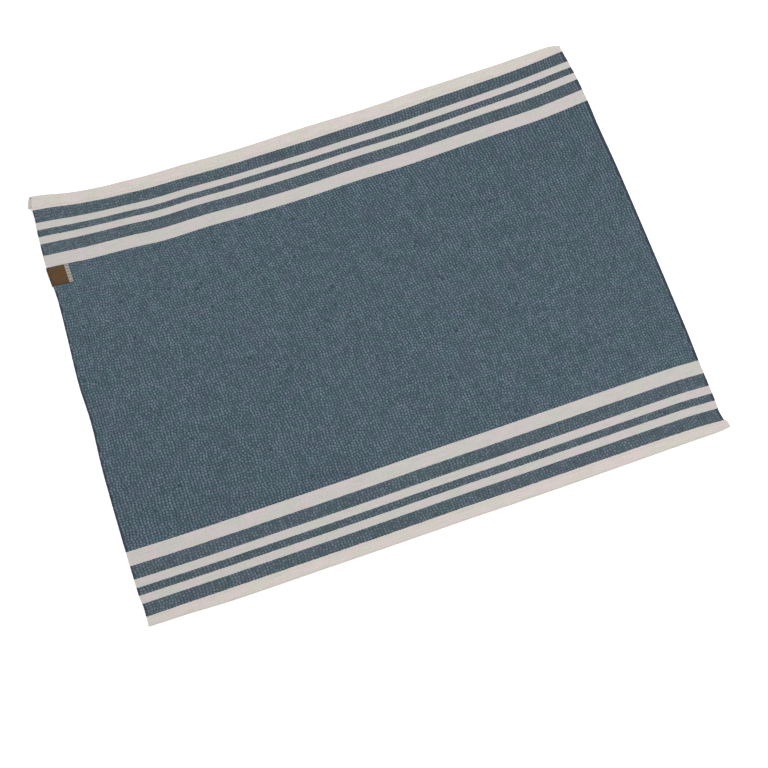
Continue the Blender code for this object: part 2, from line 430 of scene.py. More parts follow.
@dataclass(frozen=True)
class Lie:
    """The way in which the cloth lies: from a place of the true rectangle to one in the frame."""

    sizes: ClothSizes = ClothSizes()
    label: LabelSizes = LabelSizes()
    side_reach: float = 34.0
    bow_reach: float = 150.0
    under_layer_slip: float = 3.0
    under_layer_draw: float = 3.8
    slip_reach: float = 26.0
    box_shift: tuple[float, float] = (-0.06, -4.61)
    lean: float = 0.125
    lean_growth: float = 0.0005
    lean_fade: float = 24.0
    swell_height: float = 0.16
    swell_reach: tuple[float, float] = (47.0, 39.0)
    ripple_share: float = 0.6
    ripple_reach: tuple[float, float] = (23.0, 61.0)
    hem_calm: float = 0.7
    hem_margin: float = 12.0
    hem_fade: float = 10.0
    pucker_height: float = 0.10
    pucker_reach: tuple[float, float] = (2.9, 6.1)

    @property
    def label_top(self) -> float:
        """The y of the label's upper edge."""
        return self.sizes.field_edge - self.label.drop

    @property
    def label_bottom(self) -> float:
        """The y of the label's lower edge."""
        return self.label_top - self.label.width

    def stray(self, x: Array, y: Array) -> tuple[Array, Array]:
        """Works out how far the cloth strays from its true rectangle.

        Args:
            x: Places along the long side.
            y: Places along the short side.

        Returns:
            The strays in x and in y.
        """
        sizes = self.sizes
        edge = np.clip(x, -sizes.half_length, sizes.half_length)
        bow = np.where(y > 0, along(TOP_BOW, edge), along(BOTTOM_BOW, edge))
        draw = np.where(y > 0, along(TOP_STRIPE_DRAW, edge), along(BOTTOM_STRIPE_DRAW, edge))
        spread = np.where(y > 0, along(TOP_HEM_SPREAD, edge), along(BOTTOM_HEM_SPREAD, edge))
        beyond = np.abs(y) - sizes.field_edge
        hold = ease(1 + beyond / self.bow_reach)
        into_stripes = np.clip(beyond / (sizes.fold_line - sizes.field_edge), 0.0, 1.0)
        hem_depth = sizes.outer_fold_y - sizes.inner_fold_y
        into_hem = np.clip((np.abs(y) - sizes.inner_fold_y) / hem_depth, 0.0, 1.0)
        from_left = ease(1 - (edge + sizes.half_length) / self.side_reach)
        from_right = ease(1 - (sizes.half_length - edge) / self.side_reach)
        across = along(LEFT_EDGE, y) * from_left + along(RIGHT_EDGE, y) * from_right
        forth = bow * hold + draw * into_stripes**2 + spread * into_hem
        for spot in STRIPE_WANDERS:
            near_x = ease(1 - np.abs(x - spot.x) / spot.reach_x)
            near_y = ease(1 - np.abs(y - spot.y) / spot.reach_y)
            forth = forth + spot.by * near_x * near_y
        return across, forth

    def _plateau(self, value: Array, low: float, high: float) -> Array:
        """Returns 1 between low and high, easing to 0 over the rise's slope outside them."""
        slope = self.label.rise_slope
        return ease(1 - (low - value) / slope) * ease(1 - (value - high) / slope)

    def lift(self, x: Array, y: Array) -> Array:
        """Works out how far the cloth stands off the surface.

        Args:
            x: Places along the long side.
            y: Places along the short side.

        Returns:
            The heights.
        """
        height = np.zeros(np.broadcast(x, y).shape)
        for corner in CORNER_LIFTS:
            away = np.hypot(x - corner.x, y - corner.y)
            height = height + corner.height * ease(1 - away / corner.reach)
        margin = self.label.rise_margin
        start = -self.sizes.half_length
        along_label = self._plateau(x, start, start + self.label.reach + margin)
        across_label = self._plateau(y, self.label_bottom - margin, self.label_top + margin)
        return height + self.label.lift * along_label * across_label

    def swell(self, x: Array, y: Array) -> Array:
        """Works out the cloth's slight unevenness, which only raises it.

        Args:
            x: Places along the long side.
            y: Places along the short side.

        Returns:
            The heights.
        """
        swell_x, swell_y = self.swell_reach
        ripple_x, ripple_y = self.ripple_reach
        short, long = self.pucker_reach
        slow = np.sin(x / swell_x + 0.6) * np.sin(y / swell_y + 1.9)
        slow = slow + self.ripple_share * np.sin(x / ripple_x + y / ripple_y + 4.0)
        pucker = np.sin(x / short + 1.3 * np.sin(x / 17)) / 2 + np.sin(x / long + 2.0) / 2
        hem = ease((np.abs(y) - self.sizes.fold_line + self.hem_margin) / self.hem_fade)
        calm = 1 - self.hem_calm * hem
        raised = self.swell_height * (slow + 1 + self.ripple_share) * calm
        return raised + self.pucker_height * (pucker + 1) * hem

    def top_z(self, y: Array) -> Array:
        """Works out the height of the cloth's middle plane, in its top layer.

        Args:
            y: Places along the short side.

        Returns:
            The heights, without the lifts.
        """
        sizes = self.sizes
        climb = ease((np.abs(y) - sizes.fold_line + sizes.hem_ramp) / sizes.hem_ramp)
        return sizes.field_z + (sizes.hem_top_z - sizes.field_z) * climb

    def yarn_x(self, u: Array, y: Array) -> Array:
        """Follows the warp yarns, which lean a little as the cloth was pulled askew.

        Args:
            u: The yarns' own places along the long side.
            y: Places along the short side.

        Returns:
            The x of each yarn there.
        """
        edge = self.sizes.field_edge
        past = np.maximum(np.abs(y) - edge, 0.0)
        held = np.minimum(np.abs(y), edge) + self.lean_fade * np.tanh(past / self.lean_fade)
        held = np.sign(y) * held
        loose = 1 - (u / self.sizes.half_length) ** 2
        return u - (self.lean * held + self.lean_growth * held**2) * loose

    def point(self, x: Array, y: Array, z: Array, under: Array | float = 0.0) -> Array:
        """Lays points of the true rectangle as the cloth lies.

        Args:
            x: Places along the long side.
            y: Places along the short side.
            z: Heights in the flat cloth.
            under: 1 in a hem's lower layers and 0 in its top one. At the far hem's left end
                they slip out past it.

        Returns:
            The points, in metres, with their three values in the last axis.
        """
        dx, dy = self.stray(x, y)
        end = ease(1 - (x + self.sizes.half_length) / self.slip_reach)
        slipped = np.where(y > 0, under * end, 0.0)
        dx = dx - self.under_layer_slip * slipped
        depth = self.sizes.outer_fold_y - self.sizes.inner_fold_y
        inwards = np.clip((self.sizes.outer_fold_y - y) / depth, 0.0, 1.0)
        dy = dy + self.under_layer_draw * inwards * slipped
        height = z + self.lift(x, y) + self.swell(x, y)
        shift_x, shift_y = self.box_shift
        return np.stack([x + dx + shift_x, y + dy + shift_y, height], axis=-1) * MM

    def seat(self, points: Array, places: Array, base: Array | float) -> Array:
        """Lays copies of a small shape on the cloth.

        Args:
            points: The shape's points, as point by axis.
            places: Each copy's place on the true rectangle, as copy by axis.
            base: The height of the copies' origin in the flat cloth.

        Returns:
            The copies' points, in metres, as copy by point by axis.
        """
        x = places[:, 0, None] + points[None, :, 0]
        y = places[:, 1, None] + points[None, :, 1]
        return self.point(x, y, base + points[None, :, 2])


class Signal:
    """A value in a material's graph, which Python's arithmetic extends with nodes."""

    def __init__(self, graph: Graph, socket: bpy.types.NodeSocket) -> None:
        """Holds a socket of a graph."""
        self.graph = graph
        self.socket = socket

    def _math(self, operation: str, *values: Signal | float) -> Signal:
        """Adds one Math node on these values."""
        return self.graph.add("ShaderNodeMath", {"operation": operation}, dict(enumerate(values)))

    def __add__(self, other: Signal | float) -> Signal:
        """Returns self + other."""
        return self._math("ADD", self, other)

    __radd__ = __add__

    def __sub__(self, other: Signal | float) -> Signal:
        """Returns self - other."""
        return self._math("SUBTRACT", self, other)

    def __rsub__(self, other: float) -> Signal:
        """Returns other - self."""
        return self._math("SUBTRACT", other, self)

    def __mul__(self, other: Signal | float) -> Signal:
        """Returns self * other."""
        return self._math("MULTIPLY", self, other)

    __rmul__ = __mul__

    def __truediv__(self, other: Signal | float) -> Signal:
        """Returns self / other."""
        return self._math("DIVIDE", self, other)

    def __abs__(self) -> Signal:
        """Returns the size of self."""
        return self._math("ABSOLUTE", self)

    def floor(self) -> Signal:
        """Returns the whole number below self."""
        return self._math("FLOOR", self)

    def fract(self) -> Signal:
        """Returns what self has past its whole number."""
        return self._math("FRACT", self)

    def ease(self, low: float, high: float) -> Signal:
        """Eases from 0 at low to 1 at high.

        Args:
            low: Where the ease starts.
            high: Where it ends.

        Returns:
            The eased signal.
        """
        settings = {"interpolation_type": "SMOOTHSTEP"}
        return self.graph.add("ShaderNodeMapRange", settings, {0: self, 1: low, 2: high})

    def hump(self, low: float, high: float, soft: float) -> Signal:
        """Makes a bump of height 1 between two places.

        Args:
            low: Where the bump starts.
            high: Where it ends.
            soft: How wide each flank is.

        Returns:
            The bump.
        """
        rise = self.ease(low - soft / 2, low + soft / 2)
        fall = self.ease(high - soft / 2, high + soft / 2)
        return rise * (1 - fall)


class Graph:
    """The node tree of one material."""

    SPECULAR: float = 0.25

    def __init__(self, name: str) -> None:
        """Makes a material with a bare Principled shader.

        Args:
            name: The material's name.
        """
        self.material = bpy.data.materials.new(name)
        self.material.use_nodes = True
        self.tree = self.material.node_tree
        self.shader = self.tree.nodes["Principled BSDF"]

    def add(
        self,
        kind: str,
        settings: dict[str, object] | None = None,
        values: dict[int | str, object] | None = None,
        output: int | str = 0,
    ) -> Signal:
        """Adds a node.

        Args:
            kind: The node's type.
            settings: What to set on the node, before its sockets are reached.
            values: Values or signals for its sockets, by name or number.
            output: Which of its outputs to return.

        Returns:
            The output as a signal.
        """
        node = self.tree.nodes.new(kind)
        for name, setting in (settings or {}).items():
            setattr(node, name, setting)
        for key, value in (values or {}).items():
            self._feed(node.inputs[key], value)
        return Signal(self, node.outputs[output])

    def _feed(self, socket: bpy.types.NodeSocket, value: object) -> None:
        """Links a signal to a socket, or sets a plain value on it.

        Args:
            socket: The input socket.
            value: A signal, or a plain value.
        """
        if isinstance(value, Signal):
            self.tree.links.new(value.socket, socket)
        else:
            socket.default_value = value

    def weave_place(self) -> tuple[Signal, Signal]:
        """Reads where on the true rectangle of the cloth a point is.

        Returns:
            The place along the long side and the place along the short side, in millimetres.
        """
        place = self.add("ShaderNodeUVMap", {"uv_map": WEAVE_MAP})
        u = self.add("ShaderNodeSeparateXYZ", None, {0: place}, "X")
        v = self.add("ShaderNodeSeparateXYZ", None, {0: place}, "Y")
        return u / MM, v / MM

    def vector(self, x: Signal | float, y: Signal | float, z: Signal | float = 0.0) -> Signal:
        """Returns a vector of three values."""
        return self.add("ShaderNodeCombineXYZ", None, {0: x, 1: y, 2: z})

    def noise(self, place: Signal, scale: float = 1.0, detail: float = 2.0) -> Signal:
        """Makes a soft noise.

        Args:
            place: Where to read it.
            scale: How many blotches there are in one unit of the place.
            detail: How many finer layers it has.

        Returns:
            The noise, from 0 to 1, mostly near 0.5.
        """
        values = {"Vector": place, "Scale": scale, "Detail": detail}
        return self.add("ShaderNodeTexNoise", {"noise_dimensions": "3D"}, values, "Fac")

    def cloud(
        self,
        u: Signal,
        v: Signal,
        per_mm: tuple[float, float],
        detail: float = 2.0,
        layer: float = 0.0,
    ) -> Signal:
        """Makes soft blotches all over a cloth.

        Args:
            u: Places along the long side.
            v: Places along the short side.
            per_mm: How many blotches there are in a millimetre of each.
            detail: How many finer layers they have.
            layer: Which of many such patterns to take.

        Returns:
            The blotches, from 0 to 1, mostly near 0.5.
        """
        return self.noise(self.vector(u * per_mm[0], v * per_mm[1], layer), 1.0, detail)

    def dice(self, *places: Signal) -> Signal:
        """Draws a number from 0 to 1, which is the same all over one place."""
        padded = [*places, 0.0, 0.0][:3]
        return self.add("ShaderNodeTexWhiteNoise", None, {"Vector": self.vector(*padded)}, "Value")

    def blend(self, base: Signal | Colour, other: Signal | Colour, share: Signal | float) -> Signal:
        """Mixes two colours.

        Args:
            base: The colour where the share is 0.
            other: The colour where the share is 1.
            share: How much of the other colour there is.

        Returns:
            The mixed colour.
        """
        return self.add("ShaderNodeMix", {"data_type": "RGBA"}, {0: share, 6: base, 7: other}, 2)

    def shade(self, colour: Signal | Colour, by: Signal) -> Signal:
        """Scales a colour.

        Args:
            colour: The colour.
            by: What to scale it by, 1 to leave it.

        Returns:
            The scaled colour.
        """
        return self.times(colour, self.vector(by, by, by))

    def times(
        self,
        colour: Signal | Colour,
        tint: Signal | Colour,
        share: Signal | float = 1.0,
    ) -> Signal:
        """Tints a colour.

        Args:
            colour: The colour.
            tint: What to multiply it by, 1 to leave it.
            share: How much of the tint there is, from 0 to 1.

        Returns:
            The tinted colour.
        """
        settings = {"data_type": "RGBA", "blend_type": "MULTIPLY"}
        return self.add("ShaderNodeMix", settings, {0: share, 6: colour, 7: tint}, 2)

    def patches(self, u: Signal, v: Signal, strength: float) -> Signal:
        """Makes the uneven dye of the yarns: soft patches that are greener or redder.

        Args:
            u: Places along the long side.
            v: Places along the short side.
            strength: How far the patches are from plain, 1 for as far as they go.

        Returns:
            The tint.
        """
        patch = self.cloud(u, v, per_mm=(0.055, 0.11), layer=3.7).ease(0.36, 0.64)
        return self.blend(WHITE, self.blend(GREENER, REDDER, patch), strength)

    def relief(self, height: Signal, depth: float) -> Signal:
        """Turns a height into a bumped normal.

        Args:
            height: The height, in shares of the depth.
            depth: How deep the relief is, in millimetres.

        Returns:
            The normal.
        """
        values = {"Strength": 1.0, "Distance": depth * MM, "Height": height}
        return self.add("ShaderNodeBump", None, values)

    def finish(
        self,
        colour: Signal,
        roughness: Signal | float,
        normal: Signal,
        sheen: float,
    ) -> None:
        """Feeds the shader.

        Args:
            colour: The surface's colour.
            roughness: How matt it is.
            normal: Its bumped normal.
            sheen: How much fuzz catches the light.
        """
        self._feed(self.shader.inputs["Base Color"], colour)
        self._feed(self.shader.inputs["Roughness"], roughness)
        self._feed(self.shader.inputs["Normal"], normal)
        self.shader.inputs["Sheen Weight"].default_value = sheen
        self.shader.inputs["Specular IOR Level"].default_value = self.SPECULAR


@dataclass(frozen=True)
class Weave:
    """A place on the cotton, and the patterns there that its tones are mixed from.

    The patterns run from 0 to 1: the weft's ridges, the pale warp, the streaks along the weft
    and the flecks.
    """

    graph: Graph
    u: Signal
    v: Signal
    ridge: Signal
    warp: Signal
    streak: Signal
    fleck: Signal


@dataclass(frozen=True)
class CottonFinish:
    """The mat's woven cotton: a dark weft in the blue parts, and cream all through in the stripes.

    Both short edges are a little darker. The lower layers of the hems are painted darker too, as
    painted shade under the top layer. On a side that has no modelled floats, the pale warp yarns
    are painted.
    """

    name: str
    sizes: ClothSizes
    painted_floats: bool = False
    weft: Colour = srgb(42, 57, 67)
    pale_weft: Colour = srgb(62, 77, 87)
    float_tone: Colour = srgb(98, 114, 121)
    cream: Colour = srgb(184, 180, 177)
    hem_cream: Colour = srgb(195, 188, 182)
    warm_cream: Colour = srgb(190, 180, 168)
    stripe_tint: Colour = (1.34, 1.20, 1.14, 1.0)
    rim_tint: Colour = (0.80, 0.72, 0.80, 1.0)
    tooth_depth: float = 0.5
    waver_depth: float = 0.7
    edge_setback: float = 0.5
    edge_softness: float = 0.22
    patch_strength: float = 0.32
    cream_patch_strength: float = 0.26
    tone_run: float = 23.0
    tint_fade: float = 2.0
    rim_width: float = 3.4
    rim_core: float = 1.6
    # where the painted shade on the hems' lower layers fades in, past the cloth's edge in the
    # weave's place
    under_hem_shade_start: float = 0.6
    under_hem_shade_end: float = 2.2
    relief_depth: float = 0.16

    def _cream_share(self, graph: Graph, u: Signal, v: Signal) -> Signal:
        """Finds how cream the cloth is.

        Args:
            graph: The material's graph.
            u: Places along the long side.
            v: Places along the short side.

        Returns:
            1 in a cream stripe, 0 in the blue, with a fine toothed line between them.
        """
        tooth = abs((u / self.sizes.warp_pitch).fract() - 0.5) * self.tooth_depth
        waver = graph.cloud(u, v, per_mm=(0.35, 0.05)) * self.waver_depth
        depth = abs(v) + tooth + waver - self.edge_setback
        bands = self.sizes.blue_bands()
        return 1 - sum(depth.hump(low, high, self.edge_softness) for low, high in bands)

    def _weave(self, graph: Graph, u: Signal, v: Signal) -> Weave:
        """Lays out the yarns and their unevenness.

        Args:
            graph: The material's graph.
            u: Places along the long side.
            v: Places along the short side.

        Returns:
            The patterns, with the weft's ridges and how much pale warp shows.
        """
        across = ((v / self.sizes.weft_yarn).fract() - 0.5) * 2.0
        column = u / self.sizes.warp_pitch
        cell = v / self.sizes.weft_pitch + graph.dice(column.floor()) * 0.9
        return Weave(
            graph=graph,
            u=u,
            v=v,
            ridge=1 - across * across,
            warp=column.fract().hump(0.26, 0.74, 0.18) * cell.fract().hump(0.14, 0.86, 0.2),
            streak=graph.cloud(u, v, per_mm=(0.06, 1.6), detail=3.0),
            fleck=graph.cloud(u, v, per_mm=(1.3, 1.3), detail=1.0, layer=6.63),
        )

    def _blue(self, weave: Weave) -> Signal:
        """Mixes the tone of the blue parts: the field, the stripes and the darker rim.

        Args:
            weave: The cloth's patterns.

        Returns:
            The colour.
        """
        graph, sizes, u, v = weave.graph, self.sizes, weave.u, weave.v
        # painted shade: each weft yarn is paler on its crown and darker in the grooves beside it;
        # the streaks are random tone
        blue = graph.blend(self.weft, self.pale_weft, weave.ridge * 0.35 + weave.streak * 0.5)
        if self.painted_floats:
            blue = graph.blend(blue, self.float_tone, weave.warp * 0.75)
        yarn_tone = graph.dice((v / sizes.weft_yarn).floor(), (u / self.tone_run).floor())
        blotch = graph.cloud(u, v, per_mm=(0.05, 0.05))
        depth = 0.29 + weave.fleck * 1.1 + yarn_tone * 0.16 + blotch * 0.16
        blue = graph.shade(blue, depth)
        blue = graph.times(blue, graph.patches(u, v, self.patch_strength))
        stripes = abs(v).ease(sizes.field_edge, sizes.field_edge + self.tint_fade)
        blue = graph.times(blue, self.stripe_tint, stripes)
        end = sizes.half_length
        rim = abs(u).ease(end - self.rim_width, end - self.rim_core)
        return graph.times(blue, self.rim_tint, rim)

    def _cream(self, weave: Weave) -> Signal:
        """Mixes the tone of the cream parts: the stripes, the hems and their lower layers.

        Args:
            weave: The cloth's patterns.

        Returns:
            The colour.
        """
        graph, sizes, u, v = weave.graph, self.sizes, weave.u, weave.v
        fade = self.tint_fade / 2
        hem = abs(v).ease(sizes.fold_line - fade, sizes.fold_line + fade)
        cream = graph.blend(self.cream, self.hem_cream, hem)
        warmth = graph.cloud(u, v, per_mm=(0.11, 0.9)).ease(0.42, 0.72)
        cream = graph.blend(cream, self.warm_cream, warmth * 0.35)
        # painted shade: the weft's ridges lighten the cream a little on each yarn's crown; the
        # streaks and flecks are random tone
        depth = 0.65 + weave.ridge * 0.04 + weave.streak * 0.34 + weave.fleck * 0.30
        cream = graph.shade(cream, depth)
        cream = graph.times(cream, graph.patches(u, v, self.cream_patch_strength))
        # painted shade: the hems' lower layers are darkened, as if shaded by the top layer above
        # them
        edge = sizes.half_width
        below = abs(v).ease(edge + self.under_hem_shade_start, edge + self.under_hem_shade_end)
        return graph.shade(cream, 1 - below * 0.14)

    def dress(self) -> bpy.types.Material:
        """Builds the material.

        Returns:
            The material.
        """
        graph = Graph(self.name)
        u, v = graph.weave_place()
        weave = self._weave(graph, u, v)
        share = self._cream_share(graph, u, v)
        colour = graph.blend(self._blue(weave), self._cream(weave), share)
        fuzz = graph.cloud(u, v, per_mm=(2.6, 2.6), detail=3.0)
        height = weave.ridge * (0.75 - share * 0.3) + weave.warp * 0.45 + fuzz * 0.5
        graph.finish(colour, 0.86 + fuzz * 0.12, graph.relief(height, self.relief_depth), 0.12)
        return graph.material


@dataclass(frozen=True)
class FloatFinish:
    """The pale warp yarn where it passes over the dark weft."""

    sizes: ClothSizes
    name: str = "pale warp yarn"
    tone: Colour = srgb(94, 110, 120)
    dark_tone: Colour = srgb(71, 88, 98)
    stripe_tint: Colour = (1.02, 0.95, 0.92, 1.0)
    tint_fade: float = 2.0
    patch_strength: float = 0.32
    twists_per_metre: float = 1300.0
    relief_depth: float = 0.08

    def dress(self) -> bpy.types.Material:
        """Builds the material.

        Returns:
            The material.
        """
        graph = Graph(self.name)
        u, v = graph.weave_place()
        colour = graph.blend(self.dark_tone, self.tone, graph.dice(u, v).ease(0.05, 0.85))
        colour = graph.times(colour, graph.patches(u, v, self.patch_strength))
        stripes = abs(v).ease(self.sizes.field_edge, self.sizes.field_edge + self.tint_fade)
        colour = graph.times(colour, self.stripe_tint, stripes)
        place = graph.add("ShaderNodeTexCoord", output="Object")
        twist = graph.noise(place, self.twists_per_metre, 1.0)
        run = graph.cloud(u, v, per_mm=(0.08, 0.07))
        yarn = graph.cloud(u, v, per_mm=(1.7, 0.03), detail=1.0)
        colour = graph.shade(colour, 0.10 + twist * 0.9 + run * 0.48 + yarn * 0.42)
        graph.finish(colour, 0.88, graph.relief(twist, self.relief_depth), 0.12)
        return graph.material


@dataclass(frozen=True)
class ThreadFinish:
    """A thread or yarn of one tone, with its twist."""

    name: str
    tone: Colour
    twists_per_metre: float = 2200.0
    relief_depth: float = 0.06

    def dress(self) -> bpy.types.Material:
        """Builds the material.

        Returns:
            The material.
        """
        graph = Graph(self.name)
        place = graph.add("ShaderNodeTexCoord", output="Object")
        twist = graph.noise(place, self.twists_per_metre, 2.0)
        colour = graph.shade(self.tone, 0.9 + twist * 0.2)
        graph.finish(colour, 0.72, graph.relief(twist, self.relief_depth), 0.1)
        return graph.material


@dataclass(frozen=True)
class RibbonFinish:
    """The label's woven ribbon: brown, with a pale stitched end."""

    label: LabelSizes
    brown: Colour = srgb(91, 65, 35)
    dark_brown: Colour = srgb(69, 48, 28)
    pale: Colour = srgb(156, 148, 144)
    rib: float = 0.55
    # how far the painted shade reaches in from the ribbon's long edges and from its fold
    edge_shade_reach: float = 0.9
    fold_shade_reach: float = 3.2
    pale_fade: float = 0.12
    relief_depth: float = 0.10

    def dress(self) -> bpy.types.Material:
        """Builds the material.

        Returns:
            The material.
        """
        graph = Graph("brown woven ribbon")
        u, v = graph.weave_place()
        rib = ((v / self.rib).fract() - 0.5) * 2.0
        ridge = 1 - rib * rib
        knit = ((u / self.rib + (v / self.rib).floor() * 0.5).fract() - 0.5) * 2.0
        fleck = graph.cloud(u, v, per_mm=(0.8, 0.8), detail=3.0)
        half = self.label.width / 2
        # painted shade: darker towards both long edges, towards the fold round the mat's edge, and
        # in the grooves between the ribs
        edge = 1 - abs(v).ease(half - self.edge_shade_reach, half) * 0.35
        fold_shade = 1 - (1 - u.ease(0.0, self.fold_shade_reach)) * 0.3
        colour = graph.blend(self.dark_brown, self.brown, fleck.ease(0.3, 0.6))
        colour = graph.shade(colour, edge * fold_shade * (0.86 + ridge * 0.2))
        start = self.label.reach - self.label.stitched_end
        end = u.ease(start - self.pale_fade, start + self.pale_fade)
        colour = graph.blend(colour, graph.shade(self.pale, 0.92 + fleck * 0.16), end)
        height = ridge * 0.7 + (1 - knit * knit) * 0.5 + fleck * 0.3
        graph.finish(colour, 0.8, graph.relief(height, self.relief_depth), 0.15)
        return graph.material


@dataclass(frozen=True)
class FloorFinish:
    """The plain pale surface that the mat lies on."""

    tone: Colour = (0.93, 0.93, 0.93, 1.0)
    glow: float = 0.25
    mottle_per_metre: float = 14.0
    grain_per_metre: float = 900.0
    relief_depth: float = 0.01

    def dress(self) -> bpy.types.Material:
        """Builds the material.

        Returns:
            The material.
        """
        graph = Graph("pale floor")
        place = graph.add("ShaderNodeTexCoord", output="Object")
        mottle = graph.noise(place, self.mottle_per_metre)
        grain = graph.noise(place, self.grain_per_metre)
        colour = graph.shade(self.tone, 0.995 + mottle * 0.01)
        graph.finish(colour, 0.7, graph.relief(grain, self.relief_depth), 0.0)
        graph.shader.inputs["Emission Color"].default_value = self.tone
        graph.shader.inputs["Emission Strength"].default_value = self.glow
        return graph.material


@dataclass(frozen=True)
class Shape:
    """One small shape in millimetres, ready to be copied many times."""

    points: Array
    faces: tuple[tuple[int, ...], ...]

    @classmethod
    def taken_from(cls, model: bpy.types.Object) -> Shape:
        """Reads a modelled object, and removes it.

        Some operators number the points and faces anew in each run, so both are put in order.

        Args:
            model: The object, modelled with one Blender unit for a millimetre.

        Returns:
            Its shape.
        """
        mesh = model.data
        points = np.round([vertex.co for vertex in mesh.vertices], 6)
        order = np.lexsort(points.T)
        rank = np.argsort(order)
        faces = sorted(tuple(rank[list(face.vertices)].tolist()) for face in mesh.polygons)
        bpy.data.objects.remove(model, do_unlink=True)
        bpy.data.meshes.remove(mesh)
        return cls(points[order], tuple(faces))


class Bench:
    """Where shapes are modelled, as by hand."""

    SMOOTH_UP_TO: float = radians(50)

    @staticmethod
    def clear() -> None:
        """Leaves nothing selected, so that an operator acts on the new shape alone."""
        if bpy.context.mode != "OBJECT":
            bpy.ops.object.mode_set(mode="OBJECT")
        bpy.ops.object.select_all(action="DESELECT")

    @classmethod
    def pillow(cls, width: float, length: float, height: float, sunk: float, crown: float) -> Shape:
        """Models a low closed pillow: a yarn where it passes over another.

        Args:
            width: Its size across.
            length: Its size along the yarn.
            height: How far it stands up.
            sunk: How far it reaches below.
            crown: The size of its top, as a share of its foot.

        Returns:
            The shape.
        """
        cls.clear()
        bpy.ops.mesh.primitive_cube_add(size=1.0)
        model = bpy.context.object
        bpy.ops.object.mode_set(mode="EDIT")
        bpy.ops.transform.translate(value=(0.0, 0.0, 0.5))
        size = (width, length, height + sunk)
        bpy.ops.transform.resize(value=size, center_override=(0.0, 0.0, 0.0))
        bpy.ops.transform.translate(value=(0.0, 0.0, -sunk))
        cls.select_faces(model, lambda normal: normal.z > 0.9)
        bpy.ops.transform.resize(value=(crown, crown, 1.0), center_override=(0.0, 0.0, height))
        bpy.ops.object.mode_set(mode="OBJECT")
        return Shape.taken_from(model)

    @staticmethod
    def select_faces(model: bpy.types.Object, wanted: Callable[[Vector], bool]) -> None:
        """Selects the faces whose normal passes a test, in edit mode.

        Args:
            model: The object in edit mode.
            wanted: The test, given a normal.
        """
        bpy.ops.mesh.select_all(action="DESELECT")
        bpy.ops.mesh.select_mode(type="FACE")
        bpy.ops.object.mode_set(mode="OBJECT")
        for face in model.data.polygons:
            face.select = wanted(face.normal)
        bpy.ops.object.mode_set(mode="EDIT")

    @classmethod
    def stitch(
        cls,
        length: float,
        radius: float,
        arch: float,
        sides: int = 6,
        steps: int = 4,
    ) -> Shape:
        """Models one stitch: a short thread along X that dips into the cloth at both ends.

        Args:
            length: From end to end.
            radius: The thread's radius.
            arch: How far its middle stands above its ends.
            sides: How many sides the thread has.
            steps: How many pieces its length has.

        Returns:
            The shape.
        """
        cls.clear()
        bpy.ops.mesh.primitive_circle_add(
            vertices=sides,
            radius=radius,
            fill_type="NGON",
            location=(-length / 2, 0.0, -arch),
            rotation=(0.0, pi / 2, 0.0),
        )
        model = bpy.context.object
        bpy.ops.object.transform_apply(location=True, rotation=True, scale=True)
        bpy.ops.object.mode_set(mode="EDIT")
        bpy.ops.mesh.select_all(action="SELECT")
        heights = [arch * (1 - (2 * i / steps - 1) ** 2) - arch for i in range(steps + 1)]
        for before, after in zip(heights, heights[1:]):
            step = (length / steps, 0.0, after - before)
            bpy.ops.mesh.extrude_region_move(TRANSFORM_OT_translate={"value": step})
        bpy.ops.mesh.select_all(action="SELECT")
        bpy.ops.mesh.normals_make_consistent(inside=False)
        bpy.ops.object.mode_set(mode="OBJECT")
        return Shape.taken_from(model)

    @classmethod
    def bead(cls, across: float, along_edge: float, height: float) -> Shape:
        """Models a bead: a weft yarn where it turns round the last warp yarn.

        Args:
            across: Its size outwards.
            along_edge: Its size along the edge.
            height: Its height.

        Returns:
            The shape.
        """
        cls.clear()
        bpy.ops.mesh.primitive_uv_sphere_add(segments=8, ring_count=5, radius=0.5)
        model = bpy.context.object
        bpy.ops.object.mode_set(mode="EDIT")
        bpy.ops.mesh.select_all(action="SELECT")
        size = (across, along_edge, height)
        bpy.ops.transform.resize(value=size, center_override=(0.0, 0.0, 0.0))
        bpy.ops.object.mode_set(mode="OBJECT")
        return Shape.taken_from(model)

    @staticmethod
    def joined(
        name: str,
        shape: Shape,
        points: Array,
        places: Array,
        finish: bpy.types.Material,
    ) -> bpy.types.Object:
        """Joins many copies of a shape into one mesh.

        Args:
            name: The piece's name.
            shape: The shape that is copied.
            points: The copies' points in metres, as copy by point by axis.
            places: Each copy's place on the true rectangle, in millimetres, as copy by axis.
            finish: Its material.

        Returns:
            The piece.
        """
        count = len(points)
        size = len(shape.points)
        starts = np.arange(count)[:, None] * size
        faces: list[list[int]] = []
        owners: list[Array] = []
        for face in shape.faces:
            faces.extend((starts + np.array(face)[None, :]).tolist())
            owners.append(np.repeat(np.arange(count), len(face)))
        mesh = bpy.data.meshes.new(name)
        mesh.from_pydata(points.reshape(-1, 3).tolist(), [], faces)
        weave = mesh.uv_layers.new(name=WEAVE_MAP)
        weave.data.foreach_set("uv", (places[np.concatenate(owners)] * MM).ravel())
        mesh.shade_smooth()
        mesh.materials.append(finish)
        piece = bpy.data.objects.new(name, mesh)
        bpy.context.scene.collection.objects.link(piece)
        return piece

